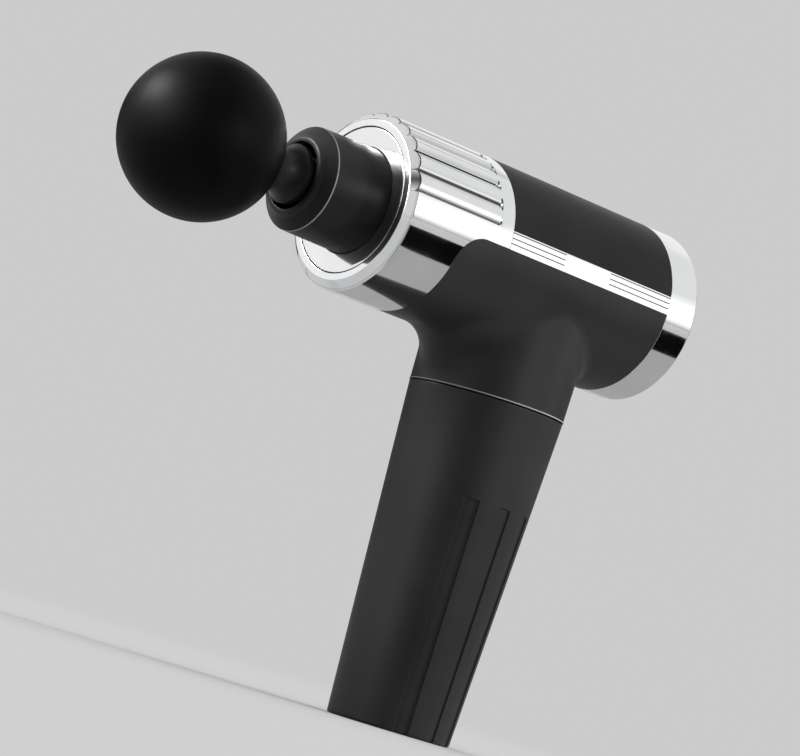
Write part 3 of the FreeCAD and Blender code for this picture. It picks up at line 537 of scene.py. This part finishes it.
def handle_profile(angle):
    """Up the outside with its rounded foot and lip, then down the inside."""
    taper = (HANDLE_TOP_R - HANDLE_BASE_R) / HANDLE_TOP
    outside = [(0.06, HANDLE_BASE_R - 0.35), (0.24, HANDLE_BASE_R - 0.10),
               (0.55, HANDLE_BASE_R)]
    outside += [(up, HANDLE_BASE_R + taper * up) for up in HANDLE_ROWS]
    points = [(0.0, 18.1), (0.0, HANDLE_BASE_R - 0.7)]
    points += [(up, r - flute_cut(angle, up, r)) for up, r in outside]
    points += [(107.45, 25.23), (107.62, 25.18), (107.74, 25.06), (HANDLE_TOP, 24.85)]
    points += [(HANDLE_TOP, 21.6), (101.0, 21.6), (99.6, 22.95), (3.0, 18.25), (3.0, 18.1)]
    return points, [-1] * len(points)


def handle_angles():
    """Even angles, and more along the flutes' walls, which lean as the handle widens."""
    angles = set(round(number * 1.25, 3) for number in range(288))
    for centre in FLUTES:
        for side in (-1, 1):
            for r in (20.4, 21.2, 22.0, 22.8, 23.6):
                for off in (-0.12, -0.06, 0.0, 0.06, 0.12):
                    turn = math.degrees((FLUTE_HALF + off) / r)
                    angles.add(round((centre + side * turn) % 360, 3))
            for off in (1.5, 1.75, 1.95, 2.1):
                angles.add(round((centre + side * math.degrees(off / 23.7)) % 360, 3))
    kept = []
    for angle in sorted(angles):
        if not kept or angle - kept[-1] > 0.03:
            kept.append(angle)
    return kept


def build_handle():
    obj = ring_mesh("handle_skin", handle_angles(), handle_profile, "Z",
                    [MATERIALS["soft_black"]])
    stands_for(obj, "handle_shell", "battery_handle")


build_nose()
build_handle()
lathe("face_disc", [
    (-74.9, 22.4, 0.2), (-74.9, 23.25, 0.15), (-71.9, 23.25, 0), (-71.9, 26.2, 0),
    (-70.65, 26.2, 0), (-70.65, 17.25, 0), (-74.2, 17.25, 0.15)],
    "satin_metal", "face_plate")
# The sleeve's rounded front edge takes the light grey of a painted highlight.
lathe("sleeve_skin", [
    (-97.8, 13.42, 0.1), (-95.3, 16.6, 0.22), (-70.65, 17.0, 0), (-70.6, 24.0, 0),
    (-68.6, 24.0, 0), (-68.6, 12.0, 0), (-96.6, 12.0, 0), (-96.6, 13.42, 0)],
    "sleeve_black", "barrel_sleeve", edge=SLEEVE_EDGE_HIGHLIGHT, accent=1)
lathe("sleeve_cap_skin", [
    (-96.62, 10.7, 0), (-99.1, 10.7, 0.2), (-99.1, 12.0, 0.5), (-97.8, 13.4, 0.12),
    (-96.62, 13.4, 0)], "trim_grey", "sleeve_cap")
lathe("rear_ring_skin", [
    (37.74, 28.5, 0.2), (49.4, 28.5, 0.25), (50.0, 27.9, 0.25), (50.0, 25.2, 0.12),
    (45.4, 25.2, 0), (45.4, 24.0, 0), (33.0, 24.0, 0), (33.0, 26.2, 0), (37.74, 26.2, 0)],
    "chrome", "rear_ring")


# ------------------------------------------------------------------ stage

def add_mesh(name, points, faces, material):
    mesh = bpy.data.meshes.new(name)
    mesh.from_pydata(points, [], faces)
    mesh.materials.append(material)
    obj = bpy.data.objects.new(name, mesh)
    bpy.context.scene.collection.objects.link(obj)
    return obj


def floor_paint():
    mat, _, shader = new_material("floor_paint")
    shader.inputs["Base Color"].default_value = (0.74, 0.74, 0.745, 1)
    shader.inputs["Roughness"].default_value = 0.7
    shader.inputs["Specular IOR Level"].default_value = 0.0
    return mat


WHITE = (1.0, 1.0, 1.0, 1)


def glowing(name, strength, soft=0.0):
    """White emission; with soft, it fades out at the edges of a square from -0.5 to 0.5."""
    mat = bpy.data.materials.new(name)
    mat.use_nodes = True
    tree = mat.node_tree
    tree.nodes.clear()
    glow = tree.nodes.new("ShaderNodeEmission")
    out = tree.nodes.new("ShaderNodeOutputMaterial")
    glow.inputs["Color"].default_value = WHITE
    glow.inputs["Strength"].default_value = strength
    tree.links.new(glow.outputs[0], out.inputs["Surface"])
    if soft:
        fades = []
        for axis in "XY":
            away = absolute(tree, split_axes(tree, coordinates(tree))[axis])
            fade = tree.nodes.new("ShaderNodeMapRange")
            fade.interpolation_type = "SMOOTHSTEP"
            fade.inputs["From Min"].default_value = 0.5
            fade.inputs["From Max"].default_value = 0.5 - soft
            tree.links.new(away, fade.inputs["Value"])
            fades.append(fade.outputs[0])
        clear = tree.nodes.new("ShaderNodeBsdfTransparent")
        mix = tree.nodes.new("ShaderNodeMixShader")
        tree.links.new(times(tree, *fades), mix.inputs["Fac"])
        tree.links.new(clear.outputs[0], mix.inputs[1])
        tree.links.new(glow.outputs[0], mix.inputs[2])
        tree.links.new(mix.outputs[0], out.inputs["Surface"])
    return mat


def only_for(obj, *rays):
    """Stage piece that only these kinds of ray can see."""
    for ray in ("camera", "diffuse", "glossy", "transmission", "shadow", "volume_scatter"):
        setattr(obj, "visible_" + ray, ray in rays)


SQUARE = [(-1, -1), (1, -1), (1, 1), (-1, 1)]
BACKDROP_GLOW = 0.60  # matches the floor's brightness far away
FLOOR_HALF = 8
FLOOR_Z = -0.0001  # just below the handle's base
add_mesh("floor", [(x * FLOOR_HALF, y * FLOOR_HALF, FLOOR_Z) for x, y in SQUARE],
                  [(0, 1, 2, 3)], floor_paint())


DOME_SUNK = 0.3


def dome(radius):
    """Pale backdrop all round, seen by the camera only."""
    points, faces = [], []
    rows, columns = 16, 64
    for row in range(rows + 1):
        rise = math.pi / 2 * row / rows
        for column in range(columns):
            turn = 2 * math.pi * column / columns
            points.append((radius * math.cos(rise) * math.cos(turn),
                           radius * math.cos(rise) * math.sin(turn),
                           radius * math.sin(rise) - DOME_SUNK))
    for row in range(rows):
        for column in range(columns):
            after = (column + 1) % columns
            faces.append((row * columns + column, (row + 1) * columns + column,
                          (row + 1) * columns + after, row * columns + after))
    only_for(add_mesh("backdrop", points, faces, glowing("backdrop_paint", BACKDROP_GLOW)),
             "camera")


dome(7.5)

AIM = Vector((-0.02, 0, 0.145))  # the middle of the barrel, where cards and lights point


def towards(azimuth, elevation):
    """Direction from the object; azimuth 0 is the -Y side, 90 the +X side."""
    a, e = math.radians(azimuth), math.radians(elevation)
    return Vector((math.sin(a) * math.cos(e), -math.cos(a) * math.cos(e), math.sin(e)))


def point_at_object(obj, azimuth, elevation, distance):
    out = towards(azimuth, elevation)
    obj.location = AIM + out * distance
    obj.rotation_euler = out.to_track_quat("Z", "Y").to_euler()


def card(name, azimuth, elevation, distance, width, height, strength, soft):
    """Soft-edged reflector card that only gloss and chrome pick up."""
    obj = add_mesh(name, [(x / 2, y / 2, 0) for x, y in SQUARE], [(0, 1, 2, 3)],
                   glowing(name + "_glow", strength, soft))
    obj.scale = (width, height, 1)
    point_at_object(obj, azimuth, elevation, distance)
    only_for(obj, "glossy")


def floor_card(name, corners, height, strength):
    """Card on the floor that only gloss and chrome pick up; corners are (x, y)."""
    obj = add_mesh(name, [(x, y, height) for x, y in corners], [(0, 1, 2, 3)],
                   glowing(name + "_glow", strength))
    only_for(obj, "glossy")


# azimuth, elevation, distance, width, height, strength, soft edge
card("card_side", 50, 13, 1.50, 1.9, 0.9, 1.30, 0.3)
card("card_high", 68, 44, 1.60, 2.2, 1.5, 0.85, 0.2)
card("card_rear", 125, 28, 1.55, 1.2, 1.4, 0.95, 0.2)
card("card_back", 172, 34, 1.65, 1.4, 1.3, 0.78, 0.2)
card("card_crown", -145, 58, 1.70, 1.8, 1.2, 0.78, 0.2)
card("card_face", -141, 8, 1.50, 1.3, 1.3, 0.98, 0.2)
card("card_left", -100, 18, 1.60, 1.2, 1.3, 0.8, 0.4)
card("card_near", -62, 12, 1.60, 1.1, 1.2, 0.75, 0.3)
card("card_over", -82, 52, 1.65, 1.5, 1.2, 0.7, 0.3)
card("glow_left", -94, 18, 1.45, 1.2, 1.1, 11.0, 0.48)
card("glow_right", 12, 16, 1.45, 1.1, 1.0, 6.0, 0.48)
card("glow_ball", -127, 31, 1.40, 0.90, 0.50, 72.0, 0.44)
floor_card("flag_far", [(0.10, -0.85), (0.90, -0.85), (0.90, -0.19), (0.10, -0.19)],
           0.0015, 0.003)
floor_card("flag_near", [(0.02, -0.19), (0.90, -0.19), (0.90, 0.60), (0.02, 0.60)],
           0.0010, 0.40)
floor_card("flag_front", [(-0.037, -0.114), (-0.097, -0.071), (-1.05, -0.764),
                          (-0.40, -1.236)], 0.0012, 0.01)


# ------------------------------------------------------------------ light

def studio_world(all_round, in_gloss):
    """Even soft light all round, dimmer in reflections so that black stays black."""
    world = bpy.data.worlds.new("studio")
    world.use_nodes = True
    tree = world.node_tree
    background = tree.nodes["Background"]
    background.inputs["Color"].default_value = WHITE
    path = tree.nodes.new("ShaderNodeLightPath")
    level = tree.nodes.new("ShaderNodeMapRange")
    level.inputs["To Min"].default_value = all_round
    level.inputs["To Max"].default_value = in_gloss
    tree.links.new(path.outputs["Is Glossy Ray"], level.inputs["Value"])
    tree.links.new(level.outputs[0], background.inputs["Strength"])
    bpy.context.scene.world = world


studio_world(0.72, 0.08)
bpy.context.scene.view_settings.view_transform = "Standard"


def add_lamp(name, data):
    lamp = bpy.data.objects.new(name, data)
    lamp.visible_camera = False
    bpy.context.scene.collection.objects.link(lamp)
    return lamp


def softbox(name, azimuth, elevation, distance, width, height, radiance):
    """Area light that looks at the object."""
    data = bpy.data.lights.new(name, "AREA")
    data.shape = "RECTANGLE"
    data.size = width
    data.size_y = height
    data.energy = radiance * math.pi * width * height
    point_at_object(add_lamp(name, data), azimuth, elevation, distance)


def low_sun(name, azimuth, elevation, energy, spread_angle):
    """Sun that lights matt surfaces only and leaves the chrome's reflections alone."""
    data = bpy.data.lights.new(name, "SUN")
    data.energy = energy
    data.angle = math.radians(spread_angle)
    lamp = add_lamp(name, data)
    point_at_object(lamp, azimuth, elevation, 0)
    lamp.visible_glossy = False


softbox("top_box", 60, 70, 1.7, 1.1, 1.1, 0.6)
low_sun("low_fill", 42, 1.5, 7.4, 12)


# ------------------------------------------------------------------ camera

CAMERA_AT = Vector((-0.754347, -0.882199, 0.012365))
CAMERA_RIGHT = Vector((0.7273585, -0.6223830, 0.2891176))
CAMERA_UP = Vector((-0.2742621, 0.1225570, 0.9538134))
CAMERA_AHEAD = Vector((0.6290707, 0.7730583, 0.0815532))
SENSOR_MM, LENS_MM = 36, 165.34

camera_data = bpy.data.cameras.new("camera")
camera_data.sensor_fit = "HORIZONTAL"
camera_data.sensor_width = SENSOR_MM
camera_data.lens = LENS_MM
camera_data.clip_start = 0.02
camera = bpy.data.objects.new("camera", camera_data)
turned = Matrix((CAMERA_RIGHT, CAMERA_UP, -CAMERA_AHEAD)).transposed().to_4x4()
camera.matrix_world = Matrix.Translation(CAMERA_AT) @ turned
bpy.context.scene.collection.objects.link(camera)
bpy.context.scene.camera = camera

bpy.context.view_layer.update()
